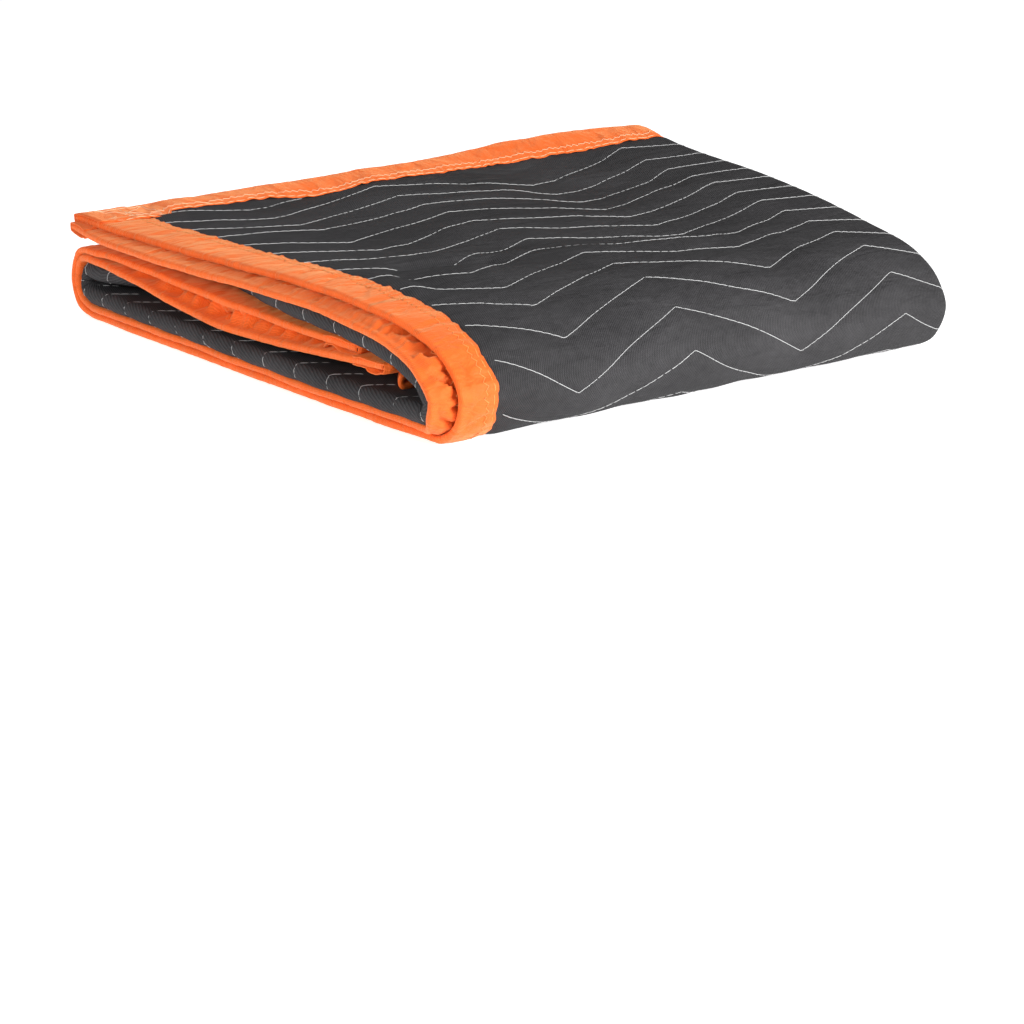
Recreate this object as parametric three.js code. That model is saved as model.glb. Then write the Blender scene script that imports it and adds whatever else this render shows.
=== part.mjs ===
// A quilted moving pad with a sewn binding, folded for storage. Millimetres, +Z up.
// The pad is folded in four across its width and then in three along its length, so that it
// lies as a spiral of twelve layers: top run, front fold, bottom run, back fold, middle run.
// -X is the end where the bound side edges show, -Y the tall front fold, z = 0 the surface.
import * as THREE from 'three';

// Driving dimensions of the cloth and its binding
const layer = 5.0;          // thickness of one quilted layer
const pitch = 5.8;          // from one layer of the folded book to the next
const bindingWidth = 35;    // how far the binding reaches in from an edge
const tape = 1.0;           // thickness of the binding tape, puckers included
const seat = 0.3;           // gap between the tape and the cloth that it covers
const edgeX = -226;         // where the side edges lie, before each run's own setback
const foldX = 216;          // where the layers turn over at the folded side
const halfWidth = 228;      // half the folded width, for the ends of the tables
const looseFrom = -90;      // from here to the bound edges the layers may part
const sagTo = 60;           // the sunk middle lies between looseFrom and here
const swellFrom = 40;       // the part that swells up or sinks lies between here and foldX,
const swellRun = 60;        // with a slope of this width on either side
const droopFrom = -186;     // from here on outwards the inner bound edge may hang down,
const droopRun = 45;        // by the full droop of the run after this width

// Quilting: zigzag rows of stitching that run from side to side
const rowSpacing = 35;      // from one row of stitching to the next
const zigzagHalf = 103;     // from a peak of the zigzag to the next valley
const zigzagPeak = 178;     // x of one column of peaks
const zigzagRise = 24;      // half of the height from valley to peak
const grooveDepth = 1.3;    // the stitching pulls the cloth in
const crownHeight = 0.9;    // the cloth stands up between two rows
const stepRun = 0.6;        // run of the step beside the binding, up to the full layer

// The outer face of the outermost layer, followed from the free top end to the hidden inner end.
// yl, zl: its line at the bound end; yr, zr: at the folded side; sag: how far it sinks between
// the two; swell: how far it stands up near the folded side, below 0 where it sinks there.
// open: how far the outermost layer stands off the others at the bound end; flare: how far the
// bound edges lift outwards; droop: how far the inner one hangs down over the fold inside it.
// a, b: how far the outer and the inner bound edge stand out; c: the fold between them.
// steps: how finely the plain cloth is divided up to the next row.
const columns = [
  'yl', 'zl', 'yr', 'zr', 'sag', 'swell', 'open', 'flare', 'droop', 'a', 'b', 'c', 'steps',
];
const table = [
  ['top end', 246, 76, 176, 116, 3, 2, 0, 0, 0, 6, 9, -50, 0],
  ['top back', 183, 75, 114, 107, 4, -5, 0, 0, 0, 6, 17, -50, 0],
  ['top middle', 45, 75, 0, 98, 5, -6, 1, 0, 0, 4, 17, -14, 0],
  ['top fore', -60, 77, -70, 90, 4, -4, 2, 0, 0, 3, 15, 6, 0],
  ['top front', -150, 75, -135, 79, -1, -2, 3, 0, 0, 3, 15, 10, 0],
  ['front brow', -204, 69, -183, 69, -3, 0, 3.5, 0, 0, 3, 17, 12, 0],
  ['front bulge', -242, 57, -211, 52, 0, 0, 3.5, 0, 0, 3, 19, 14, 0],
  ['front fold', -261, 35, -222, 31, 0, 0, 3, 0, 0, 2, 20, 14, 0],
  ['front foot', -253, 12, -212, 9, 0, 0, 2, 0, 0, 1, 18, 12, 0],
  ['bottom front', -234, 0, -193, 0, 0, 0, 1, 0, 0, 2, 10, 10, 2],
  ['bottom fore', -100, 0, -85, 0, 0, 0, 0, 0, 0, 6, 9, 11, 1],
  ['bottom rear', 100, 0, 60, 0, 0, 0, 0, 0, 0, 7, 8, 9, 1],
  ['bottom back', 222, 0, 160, 0, 0, 0, 0, 0, 0, 7, 8, 7, 3],
  ['back foot', 246, 7, 181, 12, 0, 0, 0, 0, 0, 7, 7, 5, 3],
  ['back fold', 255.5, 26.5, 191, 38, 0, 0, 0, 0, 0, 7, 7, 4, 3],
  ['back brow', 245, 48, 181, 64, 0, -1, 0, 1, 0, 7, 7, 3, 3],
  ['back shoulder', 208, 53, 148, 76, 3, -3, 1, 1, 0, 7, 9, 3, 2],
  ['middle back', 140, 49, 94, 76, 5, -4, 1, 4, 3, 7, 10, -46, 2],
  ['middle', 30, 48, 10, 68, 4, -3, 0, 1, 11, 6, 9, -64, 1],
  ['middle fore', -70, 47, -55, 59, 1, -1, 0, 0, 6, 6, 9, -56, 1],
  ['inner end', -150, 46, -110, 49, 0, 0, 0, 0, 0, 5, 9, -4, 0],
];
const runs = table.map(([place, ...values]) => (
  Object.fromEntries([['place', place], ...columns.map((name, i) => [name, values[i]])])
));
const slipFrom = 15;        // from this row of the table the inner layers slide on,
const endSlip = 36;         // up to so far past the outermost one at the inner end

// Corners of the folded pad in plan, moved in x: it was not folded quite square.
const skew = { frontLeft: 3, backLeft: -6, frontRight: -12, backRight: 28, depth: 250 };
const centre = { x: 0.08, y: -2.48 };   // middle of the folded pad's outline: the origin

// Soft humps that stand up on the outermost layer alone: place, half width and height
const humps = [
  { x: -125, y: -110, wide: 45, high: 3 },
  { x: 95, y: -150, wide: 60, high: 3 },
  { x: 20, y: 90, wide: 70, high: 2.5 },
  { x: -130, y: 60, wide: 40, high: 2 },
  { x: 150, y: 20, wide: 45, high: 2.5 },
];
const humpFoot = 45;        // height at which the humps begin to show
const humpFade = 20;        // and over which they reach their full height

// How the rows of the mesh are spread along the cloth
const easeRows = 6;         // the first rows of stitching turn from straight to zigzag
const quiltMargin = 8;      // plain cloth beside the binding
const slopeStep = 0.05;     // part of a row of the table over which slopes are taken
const straightFrom = 5.5;   // from this row of the table the zigzag eases out,
const straightAt = 8;       // and from this one on, at the foot of the fold, it is straight
const plainFrom = 9;        // from this row on the cloth is plain
const samplesPerRow = 16;   // of the measured line, for each row of the table

const lerp = (from, to, t) => from + (to - from) * t;
const clamp = (value, low, high) => Math.min(Math.max(value, low), high);
const smooth = (t) => {
  const k = clamp(t, 0, 1);
  return k * k * (3 - 2 * k);
};

// A value of the table between two rows, on a smooth curve through the rows
function rowValue(name, position) {
  const last = runs.length - 1;
  const row = clamp(Math.floor(position), 0, last - 1);
  const t = position - row;
  const at = (i) => runs[clamp(i, 0, last)][name];
  const [p0, p1, p2, p3] = [at(row - 1), at(row), at(row + 1), at(row + 2)];
  const spans = [chord(row - 1), chord(row), chord(row + 1)];
  const m1 = spans[1] * (spans[0] ? ((p1 - p0) / spans[0] + (p2 - p1) / spans[1]) / 2
    : (p2 - p1) / spans[1]);
  const m2 = spans[1] * (spans[2] ? ((p2 - p1) / spans[1] + (p3 - p2) / spans[2]) / 2
    : (p2 - p1) / spans[1]);
  const t2 = t * t;
  const t3 = t2 * t;
  return (2 * t3 - 3 * t2 + 1) * p1 + (t3 - 2 * t2 + t) * m1
    + (3 * t2 - 2 * t3) * p2 + (t3 - t2) * m2;
}

// Length of the table's step that starts at a row, 0 outside the table
function chord(row) {
  if (row < 0 || row > runs.length - 2) return 0;
  const from = runs[row];
  const to = runs[row + 1];
  return Math.hypot(to.yl - from.yl, to.zl - from.zl);
}

// Table position for each length along the line at the middle of the folded width
const measured = [];
{
  let length = 0;
  let before = null;
  const count = (runs.length - 1) * samplesPerRow;
  for (let i = 0; i <= count; i += 1) {
    const position = i / samplesPerRow;
    const y = (rowValue('yl', position) + rowValue('yr', position)) / 2;
    const z = (rowValue('zl', position) + rowValue('zr', position)) / 2;
    if (before) length += Math.hypot(y - before[0], z - before[1]);
    before = [y, z];
    measured.push({ length, position });
  }
}
const clothLength = measured[measured.length - 1].length;

function positionAt(length) {
  if (length <= 0) return length / chord(0);
  if (length >= clothLength) {
    return runs.length - 1 + (length - clothLength) / chord(runs.length - 2);
  }
  const next = measured.findIndex((sample) => sample.length >= length);
  const a = measured[next - 1];
  const b = measured[next];
  return lerp(a.position, b.position, (length - a.length) / (b.length - a.length));
}

function lengthAt(position) {
  const sample = position * samplesPerRow;
  const from = measured[Math.floor(sample)];
  const to = measured[Math.min(Math.floor(sample) + 1, measured.length - 1)];
  return lerp(from.length, to.length, sample - Math.floor(sample));
}

// Table values of one station, past the ends of the table too
function station(length) {
  const position = positionAt(length);
  const inside = clamp(position, 0, runs.length - 1);
  const values = { position };
  for (const name of columns) {
    const ahead = Math.min(inside + slopeStep, runs.length - 1);
    const behind = Math.max(inside - slopeStep, 0);
    const slope = (rowValue(name, ahead) - rowValue(name, behind)) / (ahead - behind);
    values[name] = rowValue(name, inside) + (position - inside) * slope;
    values[`${name}Slope`] = slope;
  }
  return values;
}

// Place of a point: length along the cloth, x across it and depth w below the outer face.
// slide: 0 in the outermost layer, 1 in the inner ones, which slide on towards the inner end.
function place(length, x, w, slide) {
  const slid = smooth((positionAt(length) - slipFrom) / (runs.length - 1 - slipFrom));
  const s = station(length + endSlip * slid * slide);
  const across = (x + halfWidth) / (2 * halfWidth);
  const sunk = s.sag * clamp(Math.min((x - edgeX) / (looseFrom - edgeX),
    (foldX - x) / (foldX - sagTo)), 0, 1)
    - s.swell * clamp(Math.min(x - swellFrom, foldX - x) / swellRun, 0, 1);
  const y = lerp(s.yl, s.yr, across);
  const line = Math.max(lerp(s.zl, s.zr, across) - sunk, 0);
  const ty = lerp(s.ylSlope, s.yrSlope, across);
  const tz = line > 0 ? lerp(s.zlSlope, s.zrSlope, across) : 0;
  const size = Math.hypot(ty, tz);
  const near = Math.max((looseFrom - x) / (looseFrom - edgeX), 0);
  const gap = s.open * near * smooth((w - layer) / (pitch - layer));
  const lift = s.flare * near * (1 - smooth((w - pitch - layer) / pitch));
  const droop = s.droop * clamp((droopFrom - x) / droopRun, 0, 1)
    * smooth((w - layer) / (pitch - layer)) * (1 - smooth((w - pitch - layer) / (pitch - layer)));
  const depth = w + gap + droop - lift;
  const py = y - (tz / size) * depth;
  const pz = line + (ty / size) * depth;
  const back = (py + skew.depth) / (2 * skew.depth);
  const shift = lerp(lerp(skew.frontLeft, skew.backLeft, back),
    lerp(skew.frontRight, skew.backRight, back), across);
  return new THREE.Vector3(x + shift - centre.x, py - centre.y, Math.max(pz, 0));
}

// Height of the humps at a point of the upper face
function hump(point) {
  return humps.reduce((sum, { x, y, wide, high }) => (
    sum + high * Math.exp(-(((point.x - x) / wide) ** 2) - ((point.y - y) / wide) ** 2)
  ), 0) * smooth((point.z - humpFoot) / humpFade);
}

// Middle line of the folded book in one station: x, w and the side that faces out of the pad
const legs = {
  outer: { w: layer / 2, side: -1, slide: 0 },
  outerFold: { centre: 1.5 * pitch + layer / 2, radius: 1.5 * pitch },
  under: { w: 3 * pitch + layer / 2, side: 1, slide: 1 },
  centreFold: { centre: 2.5 * pitch + layer / 2, radius: pitch / 2, slide: 1 },
  second: { w: 2 * pitch + layer / 2, side: -1, slide: 1 },
  innerFold: { centre: 1.5 * pitch + layer / 2, radius: pitch / 2, slide: 1 },
  inner: { w: pitch + layer / 2, side: 1, slide: 1 },
};
const flatLeg = (name, x) => {
  const { w, side, slide } = legs[name];
  return { x, w, nx: 0, nw: side, slide };
};
const bend = (name, x, degrees, facing) => {
  const angle = THREE.MathUtils.degToRad(degrees);
  const { centre, radius, slide = (degrees + 90) / 180 } = legs[name];
  return {
    slide,
    x: x + radius * Math.cos(angle),
    w: centre + radius * Math.sin(angle),
    nx: facing * Math.cos(angle),
    nw: facing * Math.sin(angle),
  };
};

// The quilted face has a column of points at each peak and valley and one half way
const quiltColumns = [];
for (let x = zigzagPeak; x > edgeX + bindingWidth + quiltMargin; x -= zigzagHalf / 2) {
  quiltColumns.unshift(x);
}
const plainColumns = [-160, looseFrom, sagTo, swellFrom + swellRun, foldX - swellRun];

// Points of the middle line from the outer bound edge to the inner one, for one station.
// Under the binding the layer is thin; a step leads up to its full thickness.
const bare = layer / 2;
const covered = layer / 2 - tape - seat;
function course(s, margin) {
  const outerEdge = edgeX - s.a;
  const innerEdge = edgeX - s.b;
  const centre = edgeX - s.c + legs.centreFold.radius;
  const underTape = bindingWidth + seat;
  const points = [
    { ...flatLeg('outer', outerEdge + margin), half: covered },
    { ...flatLeg('outer', outerEdge + underTape), half: covered },
    { ...flatLeg('outer', outerEdge + underTape + stepRun), half: bare, step: true },
  ];
  for (const x of quiltColumns) points.push({ ...flatLeg('outer', x), half: bare, quilted: true });
  for (const angle of [-90, -45, 0, 45, 90]) {
    points.push({ ...bend('outerFold', foldX, angle, 1), half: bare });
  }
  for (const x of plainColumns.toReversed()) points.push({ ...flatLeg('under', x), half: bare });
  for (const angle of [90, 135, 180, 225, 270]) {
    points.push({ ...bend('centreFold', centre, angle, 1), half: bare });
  }
  for (const x of plainColumns) points.push({ ...flatLeg('second', x), half: bare });
  for (const angle of [90, 0, -90]) {
    points.push({ ...bend('innerFold', foldX, angle, -1), half: bare });
  }
  for (const x of plainColumns.toReversed()) points.push({ ...flatLeg('inner', x), half: bare });
  points.push(
    { ...flatLeg('inner', innerEdge + underTape + stepRun), half: bare, step: true },
    { ...flatLeg('inner', innerEdge + underTape), half: covered },
    { ...flatLeg('inner', innerEdge + margin), half: covered },
  );
  return points;
}

// Zigzag shift of a row of stitching at x, and how much of the quilting shows there
function zigzag(x) {
  const t = Math.abs(((x - zigzagPeak) / zigzagHalf) % 2);
  return zigzagRise * (1 - 2 * (t > 1 ? 2 - t : t));
}

// A closed solid from rings of points: all rings alike, the first and last ones capped.
// fan: pairs of points across the section that split its cap into strips. slants: which way each
// four-cornered face is split, so that the faces of tape and cloth that lie together split alike.
function loft(rings, fan, slants) {
  const points = rings.flat();
  const size = rings[0].length;
  const triangles = [];
  for (let i = 0; i < rings.length - 1; i += 1) {
    for (let j = 0; j < size; j += 1) {
      const next = (j + 1) % size;
      const [a, b] = [i * size + j, i * size + next];
      const [c, d] = [a + size, b + size];
      if (slants[j]) triangles.push([a, c, b], [b, c, d]);
      else triangles.push([a, c, d], [a, d, b]);
    }
  }
  for (const [first, turned] of [[0, false], [(rings.length - 1) * size, true]]) {
    for (let k = 0; k < fan.length - 1; k += 1) {
      const [a, c] = fan[k].map((j) => first + j);
      const [b, d] = fan[k + 1].map((j) => first + j);
      if (c !== d) triangles.push(turned ? [b, c, d] : [b, d, c]);
      triangles.push(turned ? [a, c, b] : [a, b, c]);
    }
  }
  const volume = triangles.reduce((sum, [a, b, c]) => (
    sum + points[a].dot(new THREE.Vector3().crossVectors(points[b], points[c]))
  ), 0);
  const outward = volume > 0 ? triangles : triangles.map(([a, b, c]) => [a, c, b]);
  const geometry = new THREE.BufferGeometry().setFromPoints(points);
  geometry.setIndex(outward.flat());
  return geometry;
}

// Lengths of the stations: a groove and a crown for each quilted row, plain steps after them
const bodyStart = bindingWidth + seat + stepRun;
const bodyEnd = clothLength - bodyStart;
const plainStart = lengthAt(plainFrom);
const quiltSteps = Math.floor((plainStart - bodyStart) / (rowSpacing / 2));
const body = [];
for (let i = 0; i < quiltSteps; i += 1) body.push(bodyStart + (i * rowSpacing) / 2);
for (let row = plainFrom; row < runs.length - 1; row += 1) {
  const { steps } = runs[row];
  for (let i = 0; i < steps; i += 1) body.push(lengthAt(row + i / steps));
}
body.push(bodyEnd);

// The whole pad: one quilted cloth, thinned along its edges where the binding covers it
function padSolid() {
  const ends = [tape + seat, bodyStart - stepRun];
  const lengths = [...ends, ...body, ...ends.map((length) => clothLength - length).toReversed()];
  const rings = lengths.map((length, i) => {
    const s = station(length);
    const bound = i < ends.length || i >= lengths.length - ends.length;
    const row = i - ends.length;
    const quilted = row > 0 && row < quiltSteps;
    const ease = smooth((straightAt - s.position) / (straightAt - straightFrom));
    const shift = quilted ? smooth(row / easeRows) * ease : 0;
    const shown = smooth(plainFrom - s.position);
    const relief = quilted ? (row % 2 ? crownHeight : -grooveDepth) * shown : 0;
    const outside = course(s, tape + seat).map((p) => {
      const h = Math.min(p.half, bound ? covered : bare) + (p.quilted ? relief : 0);
      const along = length - (p.quilted ? shift * zigzag(p.x) : 0);
      const point = place(along, p.x + p.nx * h, p.w + p.nw * h, p.slide);
      if (p.quilted && quilted) point.z += hump(point);
      return point;
    });
    const inside = course(s, tape + seat).map((p) => {
      const h = Math.min(p.half, bound ? covered : bare);
      return place(length, p.x - p.nx * h, p.w - p.nw * h, p.slide);
    });
    return [...outside, ...inside.toReversed()];
  });
  const size = rings[0].length;
  const fan = rings[0].slice(size / 2).map((_, j) => [j, size - 1 - j]);
  return loft(rings, fan, rings[0].map((_, j) => j < size / 2));
}

// The binding tape folded over an edge: reach from the edge and height off the middle line
const tapeSection = [
  [bindingWidth, bare], [tape, bare], [0, bare - tape],
  [0, tape - bare], [tape, -bare], [bindingWidth, -bare],
  [bindingWidth, tape - bare], [tape, tape - bare], [tape, bare - tape],
  [bindingWidth, bare - tape],
];
const tapeFan = [[0, 9], [1, 8], [2, 8], [3, 7], [4, 7], [5, 6]];
const tapeSlants = (turned) => tapeSection.map(([reach], j) => (
  (reach < tapeSection[(j + 1) % tapeSection.length][0]) !== turned
));

function sideBinding(leg, setback) {
  const rings = body.map((length) => {
    const edge = edgeX - station(length)[setback];
    return tapeSection.map(([reach, h]) => {
      const p = flatLeg(leg, edge + reach);
      return place(length, p.x, p.w + p.nw * h, p.slide);
    });
  });
  return loft(rings, tapeFan, tapeSlants(leg === 'inner'));
}

function endBinding(edge, inward) {
  const rings = course(station(edge), 0).filter((p) => !p.step).map((_, i) => (
    tapeSection.map(([reach, h]) => {
      const length = edge + inward * reach;
      const p = course(station(length), 0).filter((point) => !point.step)[i];
      return place(length, p.x + p.nx * h, p.w + p.nw * h, p.slide);
    })
  ));
  return loft(rings, tapeFan, tapeSlants(inward < 0));
}

const charcoal = new THREE.MeshStandardMaterial({ color: 0x2b2a2c, roughness: 0.85, metalness: 0 });
const orange = new THREE.MeshStandardMaterial({ color: 0xe8641e, roughness: 0.7, metalness: 0 });

const group = new THREE.Group();
function add(name, geometry, material) {
  const mesh = new THREE.Mesh(geometry, material);
  mesh.name = name;
  group.add(mesh);
}

add('quilted_pad', padSolid(), charcoal);
add('outer_side_binding', sideBinding('outer', 'a'), orange);
add('inner_side_binding', sideBinding('inner', 'b'), orange);
add('top_end_binding', endBinding(0, 1), orange);
add('inner_end_binding', endBinding(clothLength, -1), orange);

export default group;
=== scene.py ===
import bisect
import math

import bmesh
import bpy
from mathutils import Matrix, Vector, noise


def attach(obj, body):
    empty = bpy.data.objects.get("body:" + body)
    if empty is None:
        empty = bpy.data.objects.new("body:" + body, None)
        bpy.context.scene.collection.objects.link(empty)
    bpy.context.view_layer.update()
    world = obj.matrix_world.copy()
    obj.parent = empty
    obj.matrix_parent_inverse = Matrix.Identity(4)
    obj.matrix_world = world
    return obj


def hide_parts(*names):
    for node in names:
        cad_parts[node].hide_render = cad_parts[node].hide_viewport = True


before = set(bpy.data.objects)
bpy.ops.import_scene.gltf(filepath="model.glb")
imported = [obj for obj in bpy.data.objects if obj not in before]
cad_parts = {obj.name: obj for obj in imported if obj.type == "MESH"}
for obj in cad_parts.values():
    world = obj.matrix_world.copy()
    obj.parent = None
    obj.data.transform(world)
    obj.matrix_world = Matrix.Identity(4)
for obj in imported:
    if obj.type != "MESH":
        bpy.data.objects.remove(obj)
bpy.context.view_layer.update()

# How the pad lies. It is folded in four across its width, and that book of four layers in three
# along its length, as a spiral. The table follows the outer face of the outermost layer from the
# free end on top to the end rolled in. Sizes of cloth are in millimetres; place() gives metres.
layer_thickness = 5.0
layer_pitch = 5.8
edge_x = -226
fold_x = 216
half_width = 228
loose_from = -90
sag_to = 60
swell_from = 40
swell_run = 60
droop_from, droop_run = -186, 45
columns = ("yl", "zl", "yr", "zr", "sag", "swell", "open", "flare", "droop", "a", "b", "c")
runs = (
    # y and z at the bound end, y and z at the folded side, sag of the middle, swell near the
    # folded side, how far the outermost layer parts, how far the edges lift, how far the inner
    # edge hangs down, and how far the outer edge, the inner edge and the fold between stand out
    (246, 76, 176, 116, 1, 4, 0, 0, 0, 6, 9, -50),           # free end on top
    (183, 75, 114, 107, 4, -5, 0, 0, 0, 6, 17, -50),
    (45, 75, 0, 98, 5, -6, 1, 0, 0, 4, 17, -14),
    (-60, 77, -70, 90, 4, -4, 2, 0, 0, 3, 15, 6),
    (-150, 75, -135, 79, -1, -2, 3, 0, 0, 3, 15, 10),
    (-204, 69, -183, 69, -3, 0, 3.5, 0, 0, 3, 17, 12),       # brow of the front fold
    (-242, 57, -211, 52, 0, 0, 3.5, 0, 0, 3, 19, 14),
    (-261, 35, -222, 31, 0, 0, 3, 0, 0, 2, 20, 14),          # middle of the front fold
    (-253, 12, -212, 9, 0, 0, 2, 0, 0, 1, 18, 12),
    (-234, 0, -193, 0, 0, 0, 1, 0, 0, 2, 10, 10),            # bottom run
    (-100, 0, -85, 0, 0, 0, 0, 0, 0, 6, 9, 11),
    (100, 0, 60, 0, 0, 0, 0, 0, 0, 7, 8, 9),
    (222, 0, 160, 0, 0, 0, 0, 0, 0, 7, 8, 7),
    (246, 7, 181, 12, 0, 0, 0, 0, 0, 7, 7, 5),
    (255.5, 26.5, 191, 38, 0, 0, 0, 0, 0, 7, 7, 4),          # middle of the back fold
    (245, 48, 181, 64, 0, -1, 0, 1, 0, 7, 7, 3),
    (208, 53, 148, 76, 3, -3, 1, 1, 0, 7, 9, 3),
    (140, 49, 94, 76, 5, -4, 1, 4, 3, 7, 10, -46),           # middle run
    (30, 48, 10, 68, 4, -3, 0, 1, 11, 6, 9, -64),
    (-70, 47, -55, 59, 1, -1, 0, 0, 6, 6, 9, -56),
    (-150, 46, -110, 49, 0, 0, 0, 0, 0, 5, 9, -4),           # rolled-in end
)
# From this row on, the layers under the outermost one slide on towards the rolled-in end
slip_from, end_slip = 15, 36
# How far along x the four corners of the pad lie out of square
skew = {"front_left": 3, "back_left": -6, "front_right": -12, "back_right": 28, "depth": 250}
middle_x, middle_y = 0.08, -2.48
# Soft humps of the top: the place, the half width and the height of each
humps = ((-125, -110, 45, 3), (95, -150, 60, 3), (20, 90, 70, 2.5), (-130, 60, 40, 2),
         (150, 20, 45, 2.5))
hump_foot, hump_fade, hump_blend = 45, 20, 1.5
creases = (
    # both ends of each soft crease in the outermost layer, its half width and its height
    (-148, -82, -97, -97, 12, -5.0),
    (-150, -58, -92, -72, 12, 1.8),
    (-58, -58, 112, -106, 17, -2.4),
    (-66, -92, 122, -142, 15, 1.8),
    (-186, -146, -180, -104, 11, 2.6),
    (-172, -92, -166, -140, 7, -2.2),
    (-108, 172, -52, 190, 14, -2.2),
    (-205, 120, -118, 58, 15, 1.4),
    (40, 120, 150, 60, 22, -1.8),
    (-60, 20, 60, -14, 14, 1.3),
)

spans = [math.hypot(b[0] - a[0], b[1] - a[1]) for a, b in zip(runs, runs[1:])]
last_run = len(runs) - 1


def clamp(value, low=0.0, high=1.0):
    return min(max(value, low), high)


def smooth(t):
    k = clamp(t)
    return k * k * (3 - 2 * k)


def run_value(column, position):
    """A column of the table between two rows, on a smooth curve through the rows."""
    row = int(clamp(position, 0, last_run - 1))
    t = position - row
    p0, p1, p2, p3 = (runs[int(clamp(row + k, 0, last_run))][column] for k in (-1, 0, 1, 2))
    here = spans[row]
    before = spans[row - 1] if row > 0 else None
    after = spans[row + 1] if row + 1 < last_run else None
    step = (p2 - p1) / here
    m1 = here * (((p1 - p0) / before + step) / 2 if before else step)
    m2 = here * ((step + (p3 - p2) / after) / 2 if after else step)
    return ((2 * t ** 3 - 3 * t ** 2 + 1) * p1 + (t ** 3 - 2 * t ** 2 + t) * m1
            + (3 * t ** 2 - 2 * t ** 3) * p2 + (t ** 3 - t ** 2) * m2)


samples_per_run = 16
measured, positions = [0.0], [0.0]
for i in range(1, last_run * samples_per_run + 1):
    ends = [[(run_value(k, p) + run_value(k + 2, p)) / 2 for k in (0, 1)]
            for p in ((i - 1) / samples_per_run, i / samples_per_run)]
    measured.append(measured[-1] + math.dist(*ends))
    positions.append(i / samples_per_run)
cloth_length = measured[-1]


def position_at(length):
    """Place in the table, in rows, of a length along the cloth."""
    if length <= 0:
        return length / spans[0]
    if length >= cloth_length:
        return last_run + (length - cloth_length) / spans[-1]
    k = bisect.bisect_left(measured, length)
    t = (length - measured[k - 1]) / (measured[k] - measured[k - 1])
    return positions[k - 1] + t * (positions[k] - positions[k - 1])


def length_at(position):
    return measured[round(position * samples_per_run)]


slope_step = 0.05
station_step = 2.0
station_from, station_past = -20, 60


def station_values(length):
    """All columns of the table and their slopes at one place along the cloth."""
    position = position_at(length)
    inside = clamp(position, 0, last_run)
    ahead, behind = min(inside + slope_step, last_run), max(inside - slope_step, 0)
    values = {}
    for k, name in enumerate(columns):
        slope = (run_value(k, ahead) - run_value(k, behind)) / (ahead - behind)
        values[name] = run_value(k, inside) + (position - inside) * slope
        values[name + "_slope"] = slope
    values["slid"] = smooth((position - slip_from) / (last_run - slip_from))
    return values


stations = [station_values(station_from + k * station_step)
            for k in range(int((cloth_length + station_past - station_from) / station_step))]


def station(length):
    k = (length - station_from) / station_step
    low = int(clamp(k, 0, len(stations) - 2))
    here, ahead = stations[low], stations[low + 1]
    return {name: here[name] + (ahead[name] - here[name]) * (k - low) for name in here}


def crease_height(x, y):
    """Soft troughs and ridges laid over the outermost layer."""
    high = 0.0
    for x0, y0, x1, y1, wide, height in creases:
        along = clamp(((x - x0) * (x1 - x0) + (y - y0) * (y1 - y0))
                      / ((x1 - x0) ** 2 + (y1 - y0) ** 2))
        off = math.hypot(x - x0 - along * (x1 - x0), y - y0 - along * (y1 - y0))
        high += height * math.exp(-(off / wide) ** 2)
    return high


def place(length, x, w, slide=0.0, rise=0.0):
    """Point of the folded pad: length along the cloth, x across it and w below the outer face
    of the outermost layer. slide is 1 in the layers that slide on at the rolled-in end; rise
    moves the point out of the pad."""
    s = station(length)
    if slide and s["slid"]:
        s = station(length + end_slip * s["slid"] * slide)
    across = (x + half_width) / (2 * half_width)
    sunk = s["sag"] * clamp(min((x - edge_x) / (loose_from - edge_x),
                                (fold_x - x) / (fold_x - sag_to)))
    sunk -= s["swell"] * clamp(min(x - swell_from, fold_x - x) / swell_run)
    line = max(s["zl"] + (s["zr"] - s["zl"]) * across - sunk, 0)
    ty = s["yl_slope"] + (s["yr_slope"] - s["yl_slope"]) * across
    tz = s["zl_slope"] + (s["zr_slope"] - s["zl_slope"]) * across if line > 0 else 0
    size = math.hypot(ty, tz)
    near = max((loose_from - x) / (loose_from - edge_x), 0)
    gap = s["open"] * near * smooth((w - layer_thickness) / (layer_pitch - layer_thickness))
    lift = s["flare"] * near * (1 - smooth((w - layer_pitch - layer_thickness) / layer_pitch))
    droop = s["droop"] * clamp((droop_from - x) / droop_run)
    droop *= smooth((w - layer_thickness) / (layer_pitch - layer_thickness))
    droop *= 1 - smooth((w - layer_pitch - layer_thickness) / (layer_pitch - layer_thickness))
    depth = w + gap + droop - lift - rise
    y = s["yl"] + (s["yr"] - s["yl"]) * across - tz / size * depth
    z = line + ty / size * depth
    if w < layer_pitch and z > hump_foot:
        proud = sum(high * math.exp(-((x - hx) / wide) ** 2 - ((y - hy) / wide) ** 2)
                    for hx, hy, wide, high in humps) + crease_height(x, y)
        z += proud * smooth((z - hump_foot) / hump_fade) * smooth((layer_pitch - w) / hump_blend)
    back = (y + skew["depth"]) / (2 * skew["depth"])
    left = skew["front_left"] + (skew["back_left"] - skew["front_left"]) * back
    right = skew["front_right"] + (skew["back_right"] - skew["front_right"]) * back
    x += left + (right - left) * across
    return Vector((x - middle_x, y - middle_y, max(z, 0))) / 1000


# The quilted cloth: one piece of wadding between two charcoal woven shells, quilted through
# with zigzag rows of light grey thread. Each row pulls both faces in, so that the cloth stands
# up a little between the rows.
binding_width = 35
row_spacing = 35
zigzag_half = 103
zigzag_peak = 178
zigzag_rise = 24
first_row = binding_width + 1
edge_inside = 1.5
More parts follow.
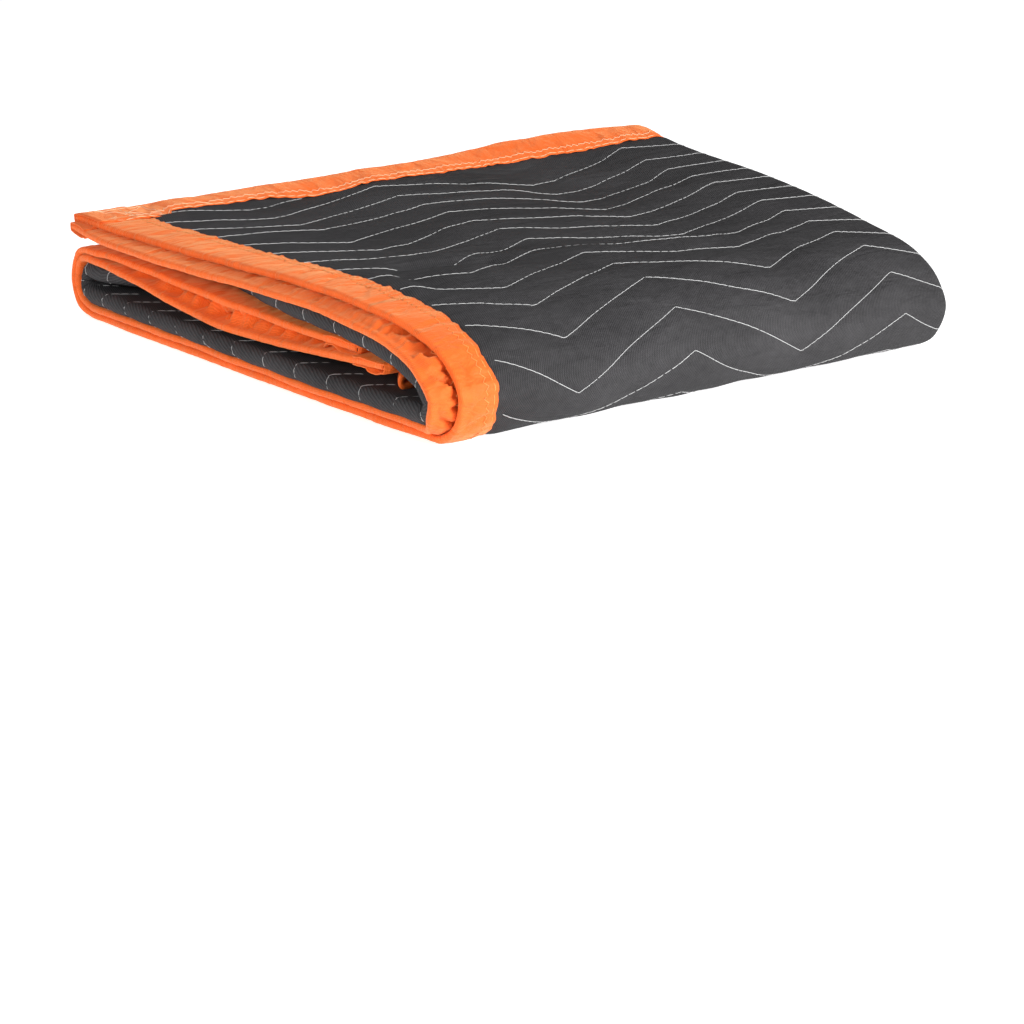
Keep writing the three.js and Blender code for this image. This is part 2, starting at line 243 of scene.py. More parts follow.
# Half thickness between the rows, at a row and under the binding, and how the cloth goes from
# one to the next; towards the folded side it is pulled flatter
full_half = 2.9
stitched_half = 1.9
bound_half = 1.2
puff_power = 0.7
bound_inside, bound_blend = 3, 11
flatter_from, flatter_run, flatter_share = 120, 70, 0.75
# Long and short waves of the outermost layer, and where they calm down
long_wave, long_height, long_lift = 58, 1.5, 0.35
short_wave, short_height = 22, 0.7
calm_side_run = 60
calm_edge, calm_edge_run, calm_edge_share = -195, 30, 0.3

outer_bend_radius = 1.5 * layer_pitch
tight_bend_radius = layer_pitch / 2
nose_radius = 3.5
nose_run = 30
outer_bend_length = math.pi * outer_bend_radius
leg_length = {"outer": fold_x - edge_x, "outer bend": outer_bend_length,
              "under": fold_x - edge_x, "centre bend": math.pi * nose_radius,
              "second": fold_x - edge_x, "inner bend": math.pi * tight_bend_radius,
              "inner": fold_x - edge_x}


def zigzag(u):
    """Shift of the stitching along the cloth; u runs across it, 0 at the first folded side."""
    t = abs((u + fold_x - zigzag_peak) / zigzag_half) % 2
    return zigzag_rise * (1 - 2 * (2 - t if t > 1 else t))


def bend(x, w, radius, angle, facing=1):
    """Place on a round fold about x and w, and its outward direction."""
    return (x + radius * math.cos(angle), w + radius * math.sin(angle),
            facing * math.cos(angle), facing * math.sin(angle))


def nose_swell(x, nose_x):
    """The fold between the two edges is loose and rounds out towards its nose."""
    return (nose_radius - tight_bend_radius) * smooth(1 - (x - nose_x) / nose_run)


def across_cloth(s, leg, t):
    """Middle of the cloth at one station: x, w, its outward direction, and its flat place u."""
    edge_a, edge_b = edge_x - s["a"] + edge_inside, edge_x - s["b"] + edge_inside
    nose_x = edge_x - s["c"] + nose_radius
    half = layer_thickness / 2
    flat_leg = fold_x - nose_x
    after_nose = outer_bend_length + flat_leg + leg_length["centre bend"]
    after_inner = after_nose + flat_leg + leg_length["inner bend"]
    if leg == "outer":
        x = edge_a + (fold_x - edge_a) * t
        return x, half, 0, -1, x - fold_x
    if leg == "outer bend":
        return (*bend(fold_x, outer_bend_radius + half, outer_bend_radius, math.pi * (t - 0.5)),
                outer_bend_length * t)
    if leg == "under":
        x = fold_x - flat_leg * t
        w = 3 * layer_pitch + half + nose_swell(x, nose_x)
        return x, w, 0, 1, outer_bend_length + fold_x - x
    if leg == "centre bend":
        return (*bend(nose_x, 2.5 * layer_pitch + half, nose_radius, math.pi * (t + 0.5)),
                outer_bend_length + flat_leg + leg_length["centre bend"] * t)
    if leg == "second":
        x = nose_x + flat_leg * t
        w = 2 * layer_pitch + half - nose_swell(x, nose_x)
        return x, w, 0, -1, after_nose + x - nose_x
    if leg == "inner bend":
        return (*bend(fold_x, 1.5 * layer_pitch + half, tight_bend_radius,
                      math.pi * (0.5 - t), -1), after_nose + flat_leg
                + leg_length["inner bend"] * t)
    x = fold_x + (edge_b - fold_x) * t
    return x, layer_pitch + half, 0, 1, after_inner + fold_x - x


def edge_reach(s, leg, x):
    """How far a point of the cloth lies from the bound edge of its leg."""
    setback = {"outer": "a", "inner": "b"}.get(leg)
    return x - (edge_x - s[setback]) if setback else 2 * half_width


def end_reach(v):
    """How far a place along the cloth lies from the nearer end."""
    return min(v, cloth_length - v)


def cloth_half(u, v, x, reach):
    """Half thickness of the cloth: thin under the binding, and drawn in at the stitching."""
    row = (v + zigzag(u) - first_row) / row_spacing
    between = math.sin(math.pi * abs(row - round(row))) ** puff_power
    flatter = flatter_share * smooth((x - flatter_from) / flatter_run)
    quilted = full_half - (full_half - stitched_half) * (1 - flatter) * (1 - between)
    bound = smooth((reach - binding_width + bound_inside) / bound_blend)
    return bound_half + (quilted - bound_half) * bound


def waves(x, v, size, seed):
    """Soft noise between about -1 and 1 in waves of one size."""
    return noise.noise(Vector((x / size, v / size, seed)))


def outer_rise(x, v):
    """How far the outermost layer stands proud: it lies on the others in soft, uneven waves."""
    fade = smooth((fold_x - x) / calm_side_run)
    fade *= calm_edge_share + (1 - calm_edge_share) * smooth((x - calm_edge) / calm_edge_run)
    return fade * (long_height * (long_lift + waves(x, v, long_wave, 1.0))
                   + short_height * waves(x, v, short_wave, 5.0))


def slide_of(leg, t):
    """The outermost layer stays in place, and the bend next to it shares the slide out."""
    return {"outer": 0, "outer bend": t}.get(leg, 1)


def lay(leg, t, v, x, w):
    """A point of a leg, in its place in the folded pad."""
    return place(v, x, w, slide_of(leg, t), outer_rise(x, v) if leg == "outer" else 0)


def cloth_point(leg, t, v, proud=None):
    """Point of the middle of the cloth, or standing proud of its outward face."""
    s = station(v)
    x, w, nx, nw, u = across_cloth(s, leg, t)
    out = 0
    if proud is not None:
        out = cloth_half(u, v, x, min(edge_reach(s, leg, x), end_reach(v))) + proud
    return lay(leg, t, v, x + nx * out, w + nw * out)


def spread(leg, count, crowd=1.0):
    """Even steps along one leg of the folded section; crowd above 1 gathers them at its start,
    below 1 at its end."""
    for k in range(count):
        t = k / count
        yield leg, t ** crowd if crowd >= 1 else 1 - (1 - t) ** (1 / crowd)


def sewn_sheet(name, across, along, point, flat):
    """A grid of cloth, put in its place, with its cut laid out in metres in the UV map."""
    mesh = bpy.data.meshes.new(name)
    bm = bmesh.new()
    wide, long = len(across) - 1, len(along) - 1
    bmesh.ops.create_grid(bm, x_segments=wide, y_segments=long, size=0.5)
    cells = {v: (across[round((v.co.x + 0.5) * wide)], along[round((v.co.y + 0.5) * long)])
             for v in bm.verts}
    cut = bm.loops.layers.uv.new("cut")
    for face in bm.faces:
        face.smooth = True
        for loop in face.loops:
            loop[cut].uv = Vector(flat(*cells[loop.vert])) / 1000
    for v, cell in cells.items():
        v.co = point(*cell)
    bm.verts.index_update()
    places = [cells[v] for v in bm.verts]
    bm.to_mesh(mesh)
    bm.free()
    piece = bpy.data.objects.new(name, mesh)
    bpy.context.collection.objects.link(piece)
    return piece, places


def thicken(piece, thickness, weights=None):
    """Gives a sheet its thickness, half to each side; weights thin it in places."""
    wall = piece.modifiers.new("thickness", "SOLIDIFY")
    wall.thickness = thickness / 1000
    wall.offset = 0
    if weights:
        group = piece.vertex_groups.new(name="thickness")
        for index, weight in enumerate(weights):
            group.add([index], clamp(weight), "REPLACE")
        wall.vertex_group = "thickness"


cloth_columns = [*spread("outer", 84), *spread("outer bend", 9), *spread("under", 26, 0.6),
                 *spread("centre bend", 8), *spread("second", 26, 1.6),
                 *spread("inner bend", 6), *spread("inner", 24), ("inner", 1.0)]
# The grid is finer down to the bottom run of the table, from which little shows
plain_from = 9
fine_until = length_at(plain_from)
fine_rows, plain_rows = 150, 96
cloth_rows = [edge_inside + k * (fine_until - edge_inside) / fine_rows
              for k in range(fine_rows)]
cloth_rows += [fine_until + k * (cloth_length - edge_inside - fine_until) / plain_rows
               for k in range(plain_rows + 1)]
# Keeps the cut's first direction above zero all over
cut_margin = 1000

quilted_cloth, cloth_places = sewn_sheet(
    "quilted_cloth", cloth_columns, cloth_rows,
    lambda column, v: cloth_point(*column, v),
    lambda column, v: (across_cloth(station(v), *column)[4] + cut_margin, v))
cloth_weights = []
for (leg, t), v in cloth_places:
    s = station(v)
    x, _, _, _, u = across_cloth(s, leg, t)
    reach = min(edge_reach(s, leg, x), end_reach(v))
    cloth_weights.append(cloth_half(u, v, x, reach) / full_half)
thicken(quilted_cloth, 2 * full_half, cloth_weights)


def color(r, g, b):
    return (r, g, b, 1.0)


def node_group(name, inputs, outputs):
    """An empty shader node group with named inputs and outputs."""
    group = bpy.data.node_groups.new(name, "ShaderNodeTree")
    for label, kind, value in inputs:
        socket = group.interface.new_socket(label, in_out="INPUT", socket_type=kind)
        if value is not None:
            socket.default_value = value
    for label, kind in outputs:
        group.interface.new_socket(label, in_out="OUTPUT", socket_type=kind)
    return group, group.nodes.new("NodeGroupInput"), group.nodes.new("NodeGroupOutput")


def add(tree, kind, settings=None, values=None):
    """A node with its settings, its inputs set to values or linked to other nodes' outputs."""
    node = tree.nodes.new(kind)
    for key, value in (settings or {}).items():
        setattr(node, key, value)
    for key, value in (values or {}).items():
        if isinstance(value, bpy.types.NodeSocket):
            tree.links.new(value, node.inputs[key])
        else:
            node.inputs[key].default_value = value
    return node


def maths(tree, operation, a, b=None, c=None):
    values = {k: v for k, v in enumerate((a, b, c)) if v is not None}
    return add(tree, "ShaderNodeMath", {"operation": operation}, values).outputs[0]


def wander(tree, cut, scale, amount, detail=2.0):
    """Noise around zero, for lines that are not quite straight."""
    found = add(tree, "ShaderNodeTexNoise", None, {
        "Vector": cut, "Scale": scale, "Detail": detail})
    return maths(tree, "MULTIPLY", maths(tree, "SUBTRACT", found.outputs["Fac"], 0.5), amount)


# Twill weave: fine ribs one way crossed by fainter ones the other way, with slubs
weave, weave_in, weave_out = node_group(
    "weave",
    [("Cut", "NodeSocketVector", None), ("Pitch", "NodeSocketFloat", 0.0015)],
    [("Height", "NodeSocketFloat"), ("Slub", "NodeSocketFloat")])
weave_cut = add(weave, "ShaderNodeSeparateXYZ", None, {0: weave_in.outputs["Cut"]})
pulled = wander(weave, weave_in.outputs["Cut"], 45.0, 0.0016)
ribs = []
for slant in (0.3, -0.9):
    run = maths(weave, "MULTIPLY_ADD", weave_cut.outputs["Y"], slant, weave_cut.outputs["X"])
    turns = maths(weave, "DIVIDE", maths(weave, "ADD", run, pulled), weave_in.outputs["Pitch"])
    ribs.append(maths(weave, "SINE", maths(weave, "MULTIPLY", turns, 2 * math.pi)))
crossed = maths(weave, "MULTIPLY_ADD", ribs[1], 0.5, ribs[0])
weave.links.new(maths(weave, "MULTIPLY_ADD", crossed, 0.33, 0.5), weave_out.inputs["Height"])
slubs = add(weave, "ShaderNodeTexNoise", None, {
    "Vector": weave_in.outputs["Cut"], "Scale": 150.0, "Detail": 4.0, "Roughness": 0.7})
weave.links.new(slubs.outputs["Fac"], weave_out.inputs["Slub"])

# Quilting seen close to: a fine groove under each row, with small creases drawn up beside it
groove, groove_in, groove_out = node_group(
    "quilting", [("Cut", "NodeSocketVector", None)], [("Height", "NodeSocketFloat")])
groove_cut = add(groove, "ShaderNodeSeparateXYZ", None, {0: groove_in.outputs["Cut"]})
peak_shift = (fold_x - zigzag_peak - cut_margin) / 1000
tooth = maths(groove, "PINGPONG", maths(groove, "ADD", groove_cut.outputs["X"], peak_shift),
              zigzag_half / 1000)
shifted = maths(groove, "MULTIPLY_ADD", tooth, -2 * zigzag_rise / zigzag_half,
                groove_cut.outputs["Y"])
rows_on = maths(groove, "DIVIDE", maths(groove, "ADD", shifted,
                                        (zigzag_rise - first_row) / 1000), row_spacing / 1000)
off_row = maths(groove, "PINGPONG", rows_on, 0.5)
near_row = maths(groove, "SUBTRACT", 1.0, maths(groove, "SMOOTH_MIN", maths(
    groove, "MULTIPLY", off_row, 5.0), 1.0, 0.3))
drawn = add(groove, "ShaderNodeTexNoise", None, {
    "Vector": groove_in.outputs["Cut"], "Scale": 110.0, "Detail": 3.0, "Distortion": 0.6})
creased = maths(groove, "MULTIPLY_ADD", drawn.outputs["Fac"], 0.9, -1.0)
groove.links.new(maths(groove, "MULTIPLY", near_row, creased), groove_out.inputs["Height"])


def fabric(name, dull, bright, pitch, roughness, weave_depth, crumple_depth, stretch,
           shine, sheen):
    """A woven cloth: ribs of two close colours, soft crumples and a dull sheen. stretch draws
    the crumples out across or along the cut."""
    material = bpy.data.materials.new(name)
    material.use_nodes = True
    tree = material.node_tree
    shader = tree.nodes["Principled BSDF"]
    cut = add(tree, "ShaderNodeUVMap", {"uv_map": "cut"}).outputs["UV"]
    cloth = add(tree, "ShaderNodeGroup", {"node_tree": weave}, {"Cut": cut, "Pitch": pitch})
    drawn_out = add(tree, "ShaderNodeMapping", None, {"Vector": cut, "Scale": stretch})
    crumple = add(tree, "ShaderNodeTexNoise", None, {
        "Vector": drawn_out.outputs[0], "Scale": 30.0, "Detail": 5.0, "Roughness": 0.55,
        "Distortion": 0.5})
    worn = wander(tree, cut, 14.0, 0.5, 3.0)
    tone = maths(tree, "MULTIPLY_ADD", cloth.outputs["Height"], 0.5,
                 maths(tree, "MULTIPLY_ADD", cloth.outputs["Slub"], 0.5, worn))
    shade = add(tree, "ShaderNodeMix", {"data_type": "RGBA"}, {
        0: tone, 6: color(*dull), 7: color(*bright)})
    tree.links.new(shade.outputs[2], shader.inputs["Base Color"])
    rough = maths(tree, "MULTIPLY_ADD", cloth.outputs["Slub"], 0.2, roughness)
    tree.links.new(rough, shader.inputs["Roughness"])
    folds = add(tree, "ShaderNodeBump", None, {
        "Height": crumple.outputs["Fac"], "Distance": crumple_depth, "Strength": 1.0})
    woven = add(tree, "ShaderNodeBump", None, {
        "Height": cloth.outputs["Height"], "Distance": weave_depth, "Strength": 1.0,
        "Normal": folds.outputs["Normal"]})
    tree.links.new(woven.outputs["Normal"], shader.inputs["Normal"])
    shader.inputs["Specular IOR Level"].default_value = shine
    shader.inputs["Sheen Weight"].default_value = sheen
    shader.inputs["Sheen Roughness"].default_value = 0.4
    shader.inputs["Sheen Tint"].default_value = color(1.0, 0.52, 0.22)
    return material, folds, cut


charcoal_cloth, cloth_folds, cloth_cut = fabric(
    "charcoal_cloth", dull=(0.008, 0.0077, 0.008), bright=(0.069, 0.067, 0.07), pitch=0.0015,
    roughness=0.6, weave_depth=0.0004, crumple_depth=0.004, stretch=(0.7, 1.8, 1.0),
    shine=0.08, sheen=0.0)
cloth_tree = charcoal_cloth.node_tree
stitched = add(cloth_tree, "ShaderNodeGroup", {"node_tree": groove}, {"Cut": cloth_cut})
pinched = add(cloth_tree, "ShaderNodeBump", None, {
    "Height": stitched.outputs["Height"], "Distance": 0.0011, "Strength": 1.0})
cloth_tree.links.new(pinched.outputs["Normal"], cloth_folds.inputs["Normal"])
quilted_cloth.data.materials.append(charcoal_cloth)


# The quilting thread: light grey, in long stitches that dip into the cloth at each needle hole.
# It follows the zigzag rows over the faces that can be seen.
thread_radius = 0.26
stitch_length = 5.5
stitch_parts = (0, 0.25, 0.75)
needle_dip, stitch_stand = -0.05, 0.26
row_wander, row_wander_run = 2.6, 55


def sewing(name, lines, radius, material):
    """Threads along lines of points, each a fine four-sided strand."""
    curve = bpy.data.curves.new(name + "_path", "CURVE")
    curve.dimensions = "3D"
    curve.bevel_depth = radius / 1000
    curve.bevel_resolution = 0
    curve.use_fill_caps = True
    for line in lines:
        spline = curve.splines.new("POLY")
        spline.points.add(len(line) - 1)
        for target, point in zip(spline.points, line):
            target.co = (*point, 1)
    path = bpy.data.objects.new(name + "_path", curve)
    bpy.context.collection.objects.link(path)
    strands = bpy.data.meshes.new_from_object(path.evaluated_get(
        bpy.context.evaluated_depsgraph_get()))
    bpy.data.objects.remove(path)
    bpy.data.curves.remove(curve)
    strands.name = name
    strands.materials.clear()
    strands.materials.append(material)
    for face in strands.polygons:
        face.use_smooth = True
    piece = bpy.data.objects.new(name, strands)
    bpy.context.collection.objects.link(piece)
    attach(piece, "root")
    return piece


def thread_finish(name, shade):
    material = bpy.data.materials.new(name)
    material.use_nodes = True
    tree = material.node_tree
    shader = tree.nodes["Principled BSDF"]
    on_thread = add(tree, "ShaderNodeTexCoord").outputs["Object"]
    twist = add(tree, "ShaderNodeTexNoise", None, {
        "Vector": on_thread, "Scale": 700.0, "Detail": 3.0})
    tone = add(tree, "ShaderNodeMix", {"data_type": "RGBA"}, {
        0: twist.outputs["Fac"], 6: color(*[k * 0.7 for k in shade]), 7: color(*shade)})
    tree.links.new(tone.outputs[2], shader.inputs["Base Color"])
    shader.inputs["Roughness"].default_value = 0.55
    return material


grey_thread = thread_finish("grey_thread", (0.52, 0.52, 0.52))

# Legs of the folded section on which the rows show, from and to
quilted_faces = (
    ("outer", 0.0, 1.0),
    ("outer bend", 0.0, 1.0),
    ("under", 0.0, 0.12),
    ("under", 0.96, 1.0),
    ("centre bend", 0.0, 1.0),
    ("second", 0.0, 0.025),
)


def quilting_lines():
    """One line of points for each row of stitching on each face that shows."""
    for leg, start, end in quilted_faces:
        count = max(round(leg_length[leg] * (end - start) / stitch_length), 1)
        steps = [start + (end - start) * (k + part) / count
                 for k in range(count) for part in stitch_parts] + [end]
        for row in range(-1, int(cloth_length / row_spacing) + 2):
            line = []
            for k, t in enumerate(steps):
                row_v = first_row + row * row_spacing
                v = clamp(row_v, 0, cloth_length)
                for _ in range(2):
                    s = station(v)
                    x, _, _, _, u = across_cloth(s, leg, t)
                    v = clamp(row_v - zigzag(u), 0, cloth_length)
                reach = min(edge_reach(s, leg, x), end_reach(v))
                if reach > binding_width + 1:
                    v += row_wander * noise.noise(Vector((u / row_wander_run, row * 3.7, 8)))
                    dip = needle_dip if k % len(stitch_parts) == 0 else stitch_stand
                    line.append(cloth_point(leg, t, v, dip))
                elif line:
                    break
            if len(line) > 3:
                yield line


quilting_thread = sewing("quilting_thread", list(quilting_lines()), thread_radius, grey_thread)
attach(quilted_cloth, "root")
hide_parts("quilted_pad")


# The side bindings: orange woven tape folded over both long edges and sewn through near its
# inner edge. The seam draws the tape up in small puckers, and its inner edge is a little wavy.
tape_thickness = 0.7
tape_press = 0.4
tape_middle = layer_thickness / 2 - tape_press
tape_turn = math.pi / 2 * tape_middle
tape_flat_half = tape_turn + binding_width - tape_middle
tape_end_in, tape_step = 2.2, 2.1
seam_in, zigzag_seam_in = 2.8, 9.0
seam_end_in, seam_radius = 6, 0.24
seam_step, seam_swing = 2.6, 1.4
seam_stand, seam_needle_dip, seam_stitch_stand = 0.12, -0.3, 0.05
# Height, length and width of the ripples that the seam draws up, and the seed of each
ripples = ((1.2, 7, 40, 0), (0.7, 3.4, 16, 4))
ripple_far_share, ripple_field, ripple_field_run = 0.25, 24, 20
puff_height, puff_turn_run, puff_edge, puff_edge_run = 0.7, 8, 3, 6
crease_depth, crease_length, crease_slant, crease_width, crease_half = 1.3, 26, 50, 80, 0.14
seam_pull, seam_pull_half, tape_lift = 0.5, 1.5, 0.2
# Height, length and seed of the waves of the inner edge, first those that only it has
edge_waves, whole_wave, edge_wave_run = ((2.6, 19, 2), (1.3, 6, 7)), (1.4, 42, 12), 14
# The tape's edges are drawn in round the front fold, whose middle is between two rows
fold_row, fold_rows, fold_draw = 6.5, 4, 6
end_calm_from, end_calm_run = 4, 20
draw_run = 20


def tape_reach(q):
    """How far from the edge, and how far off the middle, a place of the folded tape lies."""
    side = 1 if q > 0 else -1
    if abs(q) < tape_turn:
        angle = abs(q) / tape_middle
        return tape_middle * (1 - math.cos(angle)), side * tape_middle * math.sin(angle)
    return tape_middle + abs(q) - tape_turn, side * tape_middle


def pucker(along, q, seed):
    """Ripples that the seam draws up, creases across the tape, and its pulled-down seam."""
    inward = tape_flat_half - abs(q)
    by_seam = ripple_far_share + (1 - ripple_far_share) * smooth(
        (ripple_field - inward) / ripple_field_run)
    ripple = sum(height * noise.noise(Vector((along / long, q / wide, seed + own)))
                 for height, long, wide, own in ripples)
    folded = noise.noise(Vector((along / crease_length + q / crease_slant, q / crease_width,
                                 seed + 9)))
    crease = 1 - smooth(abs(folded) / crease_half)
    puff = smooth((abs(q) - tape_turn) / puff_turn_run)
    puff *= smooth((inward - puff_edge) / puff_edge_run)
    pulled = sum(math.exp(-((inward - line) / seam_pull_half) ** 2)
                 for line in (seam_in, zigzag_seam_in))
    return (by_seam * ripple + puff * (puff_height - crease_depth * crease)
            - seam_pull * pulled + tape_lift)


def edge_wave(along, q, seed):
    """How far the tape's place wanders, most at its sewn edge."""
    by_seam = smooth((edge_wave_run - tape_flat_half + abs(q)) / edge_wave_run)
    at_edge, whole = (sum(height * noise.noise(Vector((along / long, seed, own)))
                          for height, long, own in rows) for rows in (edge_waves, [whole_wave]))
    return by_seam * at_edge + whole


def tape_steps(flat_steps, turn_steps):
    """Places across the folded tape, closer together round the edge of the cloth."""
    flats = [tape_turn + k / flat_steps * (tape_flat_half - tape_turn)
             for k in range(flat_steps + 1)]
    turns = [tape_turn * (k / turn_steps - 1) for k in range(1, 2 * turn_steps)]
    return [*(-q for q in reversed(flats)), *turns, *flats]


tape_columns = tape_steps(13, 3)
orange_tape, _, _ = fabric(
    "orange_tape", dull=(0.62, 0.08, 0.005), bright=(0.92, 0.16, 0.022), pitch=0.0011,
    roughness=0.5, weave_depth=0.00015, crumple_depth=0.005, stretch=(0.8, 2.4, 1.0),
    shine=0.25, sheen=0.45)
pale_thread = thread_finish("pale_thread", (0.95, 0.6, 0.36))
orange_thread = thread_finish("orange_thread", (0.95, 0.36, 0.1))


def side_tape_point(leg, setback, seed, q, v, proud=0.0):
    """Point of a side binding: q across the tape from the edge of the cloth, v along it."""
    s = station(v)
    reach, h = tape_reach(q)
    side = 1 if q > 0 else -1
    drawn_in = fold_draw * smooth(1 - abs(position_at(v) - fold_row) / fold_rows)
    reach -= drawn_in * smooth((abs(q) - tape_turn) / draw_run)
    x = edge_x - s[setback] + reach + edge_wave(v, q, seed)
    calm = smooth((end_reach(v) - end_calm_from) / end_calm_run)
    h += side * (pucker(v, q, seed) * calm + proud)
    w, outward = (layer_thickness / 2, -1) if leg == "outer" else (
        layer_pitch + layer_thickness / 2, 1)
    return lay(leg, 1.0, v, x, w + outward * h)


def seam_lines(point, start, end, side):
    """A zigzag seam and a straight one along a tape; point takes q, the place along and how far
    the thread stands proud."""
    count = int((end - start) / seam_step)
    stand = tape_thickness / 2 + seam_stand
    zigzag_line, straight_line = [], []
    for k in range(count + 1):
        along = start + (end - start) * k / count
        q = tape_flat_half - zigzag_seam_in + (seam_swing if k % 2 else -seam_swing)
        zigzag_line.append(point(side * q, along, stand))
        dip = seam_needle_dip if k % 3 == 0 else seam_stitch_stand
        straight_line.append(point(side * (tape_flat_half - seam_in), along, stand + dip))
    return [zigzag_line, straight_line]


def side_binding(name, node, leg, setback, seed, seam_side):
    """The tape of one long edge, with its two seams on the face that shows."""
    start, end = tape_end_in, cloth_length - tape_end_in
    count = int((end - start) / tape_step)
    rows = [start + (end - start) * k / count for k in range(count + 1)]
    piece, _ = sewn_sheet(
        name, tape_columns, rows,
        lambda q, v: side_tape_point(leg, setback, seed, q, v),
        lambda q, v: (q + 2 * binding_width, v))
    thicken(piece, tape_thickness)
    piece.data.materials.append(orange_tape)
    seam = sewing(name + "_seam", seam_lines(
        lambda q, v, proud: side_tape_point(leg, setback, seed, q, v, proud),
        binding_width + seam_end_in, cloth_length - binding_width - seam_end_in, seam_side),
        seam_radius, orange_thread)
    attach(piece, "root")
    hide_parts(node)


side_binding("outer_side_tape", "outer_side_binding", "outer", "a", 11, 1)
side_binding("inner_side_tape", "inner_side_binding", "inner", "b", 23, -1)


# The end bindings: the same tape over both short ends, along all four layers of the fold. At the
# corners it lies over the side binding, and on top it ends in a wider lap sewn down in a cross.
lap_to, lap_turn, lap_width = -184, 9, 47
over_side, over_side_from, over_side_run = 0.75, 4, 5
end_stand = 0.3
cross_in, cross_edge_in, cross_lap_in, cross_steps = 4, 5, 3, 24
end_seam_in, end_seam_radius, cross_stand = 4, 0.26, 0.15
end_columns = [*spread("outer", 200), *spread("outer bend", 12), *spread("under", 60),
               *spread("centre bend", 8), *spread("second", 60), *spread("inner bend", 6),
               *spread("inner", 80), ("inner", 1.0)]


def end_tape_point(edge, inward, lapped, seed, leg, t, q, proud=0.0):
    """Point of an end binding: leg and t across the folded cloth, q across the tape from the
    edge; inward is 1 or -1, the way along the cloth that leads away from the edge."""
    reach, h = tape_reach(q)
    s = station(edge + inward * reach)
    x, w, nx, nw, u = across_cloth(s, leg, t)
    side = 1 if q > 0 else -1
    on_side = smooth((binding_width + over_side_from - edge_reach(s, leg, x)) / over_side_run)
    if leg in ("outer", "inner") and t in (0.0, 1.0) and on_side:
        x -= edge_inside + end_stand
    reach += edge_wave(u, q, seed)
    if lapped and leg == "outer" and side > 0:
        wide = lap_width + (binding_width - lap_width) * smooth((x - lap_to) / lap_turn)
        reach = tape_middle + (reach - tape_middle) * wide / binding_width
    h += side * (pucker(u, q, seed) + over_side * on_side + proud)
    v = edge + inward * reach
    return lay(leg, t, v, x + nx * h, w + nw * h)


def on_top_tape(seed, q, x, proud):
    """Point of the tape on top of the pad, at a place x."""
    edge_a = edge_x - station(0)["a"] + edge_inside
    t = clamp((x - edge_a) / (fold_x - edge_a), 0.001, 1)
    return end_tape_point(0, 1, True, seed, "outer", t, q, proud)


def end_binding(name, node, edge, inward, lapped, seed):
    """The tape of one short end. The lapped one, which shows, has its seams and the cross."""
    piece, _ = sewn_sheet(
        name, end_columns, tape_columns,
        lambda column, q: end_tape_point(edge, inward, lapped, seed, *column, q),
        lambda column, q: (q + 2 * binding_width,
                           across_cloth(station(edge), *column)[4] + cut_margin))
    thicken(piece, tape_thickness)
    piece.data.materials.append(orange_tape)
    if lapped:
        lines = seam_lines(lambda q, x, proud: on_top_tape(seed, q, x, proud),
                           edge_x + end_seam_in, fold_x, 1)
        near_q, far_q = tape_turn + cross_in, tape_flat_half - cross_in
        left, right = edge_x + cross_edge_in, lap_to - cross_lap_in
        middle = (left + right) / 2
        cross = (((left, near_q), (right, far_q)), ((left, far_q), (right, near_q)),
                 ((left, near_q), (right, near_q)), ((right, near_q), (right, far_q)),
                 ((middle, near_q), (middle, far_q)))
        stand = tape_thickness / 2 + cross_stand
        for (x0, q0), (x1, q1) in cross:
            lines.append([on_top_tape(seed, q0 + (q1 - q0) * k / cross_steps,
                                      x0 + (x1 - x0) * k / cross_steps, stand)
                          for k in range(cross_steps + 1)])
        seam = sewing(name + "_seam", lines, end_seam_radius, pale_thread)
    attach(piece, "root")
    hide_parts(node)


end_binding("top_end_tape", "top_end_binding", 0, 1, True, 31)
end_binding("inner_end_tape", "inner_end_binding", cloth_length, -1, False, 43)


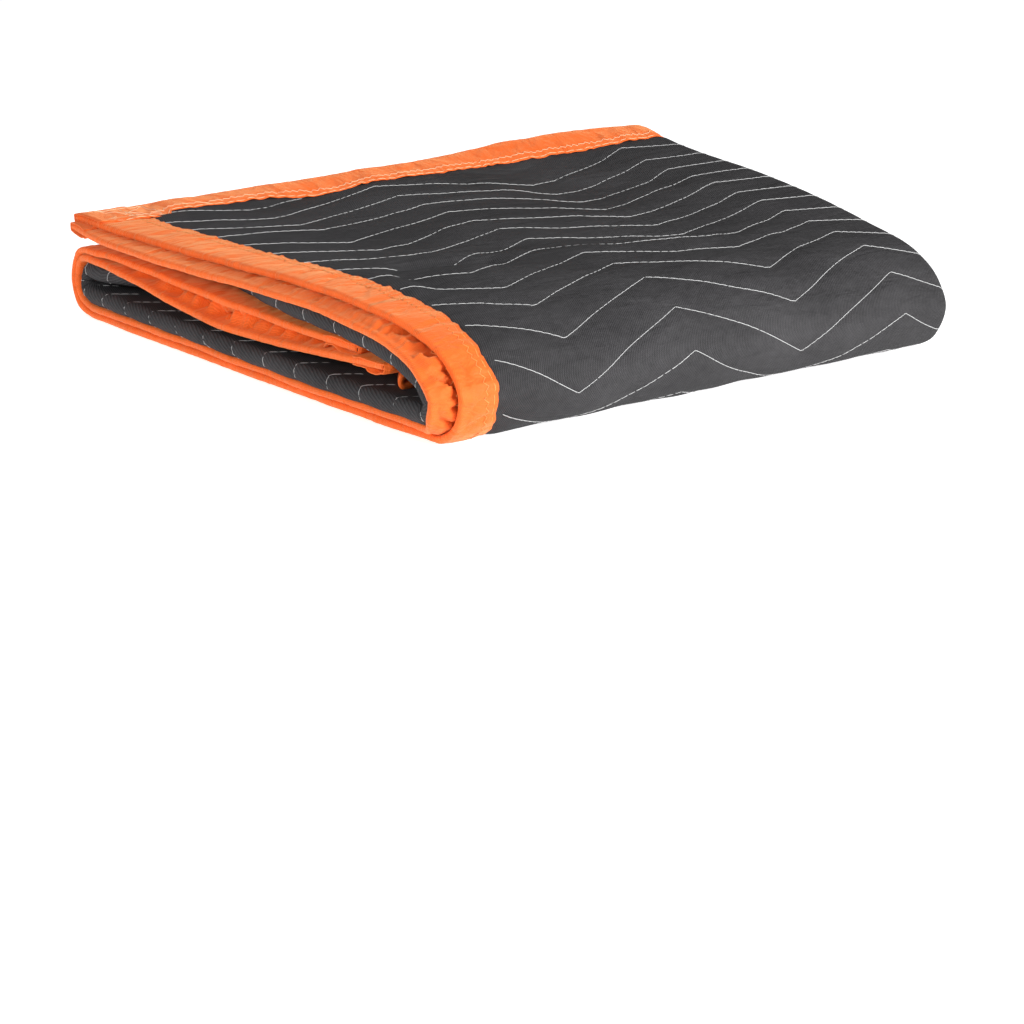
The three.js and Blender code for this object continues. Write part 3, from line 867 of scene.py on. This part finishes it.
# The floor: a plain pale surface that runs far back, under soft light from large panels.
floor_half, floor_below = 30, 0.0005
floor_mesh = bpy.data.meshes.new("floor")
floor_bm = bmesh.new()
bmesh.ops.create_grid(floor_bm, x_segments=1, y_segments=1, size=floor_half)
bmesh.ops.translate(floor_bm, verts=floor_bm.verts, vec=(0, 0, -floor_below))
floor_bm.to_mesh(floor_mesh)
floor_bm.free()
floor = bpy.data.objects.new("floor", floor_mesh)
bpy.context.collection.objects.link(floor)
pale_floor = bpy.data.materials.new("pale_floor")
pale_floor.use_nodes = True
floor_shader = pale_floor.node_tree.nodes["Principled BSDF"]
floor_shader.inputs["Base Color"].default_value = color(0.9, 0.9, 0.9)
floor_shader.inputs["Roughness"].default_value = 0.9
floor_shader.inputs["Emission Color"].default_value = color(1, 1, 1)
floor_shader.inputs["Emission Strength"].default_value = 0.64
floor.data.materials.append(pale_floor)

world = bpy.data.worlds.new("studio")
bpy.context.scene.world = world
world.use_nodes = True
world.node_tree.nodes["Background"].inputs["Color"].default_value = color(1, 1, 1)
world.node_tree.nodes["Background"].inputs["Strength"].default_value = 0.3


def softbox(name, location, size, power):
    """A rectangular light panel that faces the pad."""
    light = bpy.data.lights.new(name, "AREA")
    light.shape = "RECTANGLE"
    light.size, light.size_y = size
    light.energy = power
    panel = bpy.data.objects.new(name, light)
    panel.location = location
    panel.rotation_euler = (-Vector(location)).to_track_quat("-Z", "Y").to_euler()
    bpy.context.collection.objects.link(panel)


softbox("front_panel", (0.9, -2.7, 0.95), (1.1, 0.7), 135)
softbox("side_panel", (-2.7, -0.9, 1.0), (1.0, 0.8), 48)
softbox("back_panel", (-0.6, 1.8, 2.0), (1.4, 0.8), 9)

bpy.context.scene.view_settings.view_transform = "Standard"

# The camera stands off the corner between the bound end and the front fold, a little above.
camera = bpy.data.objects.new("camera", bpy.data.cameras.new("camera"))
bpy.context.collection.objects.link(camera)
camera.data.sensor_width = 36
camera.data.lens = 87.9
camera.location = (-1.0292, -1.4771, 0.3935)
camera.rotation_euler = (math.radians(73.57), 0, math.radians(-34.61))
bpy.context.scene.camera = camera
